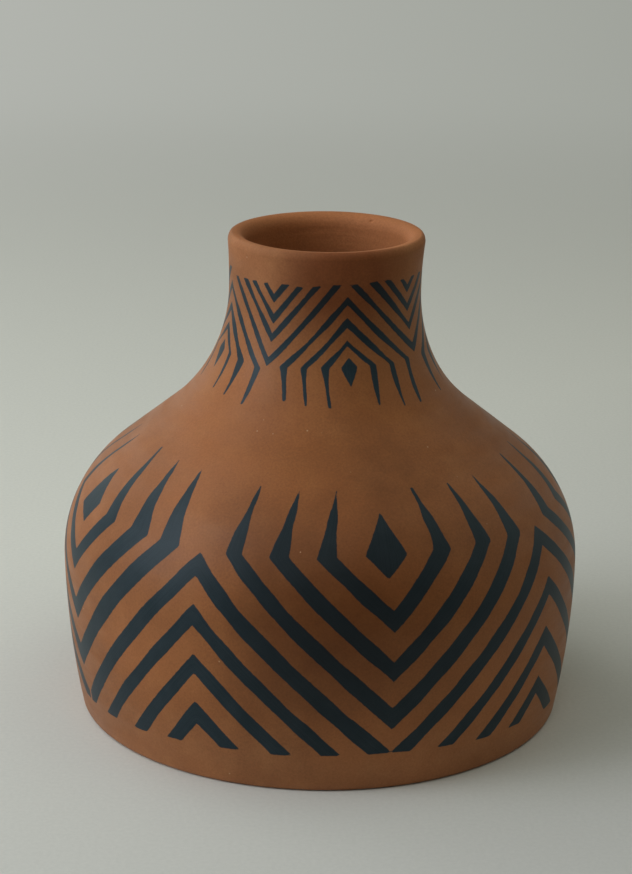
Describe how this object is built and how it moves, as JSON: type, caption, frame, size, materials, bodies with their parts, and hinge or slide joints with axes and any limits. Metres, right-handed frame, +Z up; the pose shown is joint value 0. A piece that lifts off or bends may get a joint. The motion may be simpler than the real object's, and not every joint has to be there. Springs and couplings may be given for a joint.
{
  "type": "clay vessel",
  "caption": "Hand-built fired clay jar with a wide round belly, sloping shoulder, narrow open neck, flat base and dark slip-painted chevron bands, for holding liquids or grain.",
  "frame": {"origin": "centre of the flat underside, on the surface that the vessel stands on", "axes": "+Z up along the vessel's axis; -Y towards the side that the picture shows; +X to the right of it"},
  "size_m": [0.235, 0.235, 0.22],
  "materials": {
    "burnished_clay": "satin burnished",
    "slip_painted_clay": "satin burnished, with blue-black slip stripes over reddish brown clay"
  },
  "bodies": {
    "root": {"base": "burnished_clay", "lower_wall": "slip_painted_clay", "belly_wall": "slip_painted_clay", "upper_wall": "slip_painted_clay", "shoulder": "slip_painted_clay", "neck": "slip_painted_clay", "lip": "burnished_clay"}
  },
  "joints": []
}
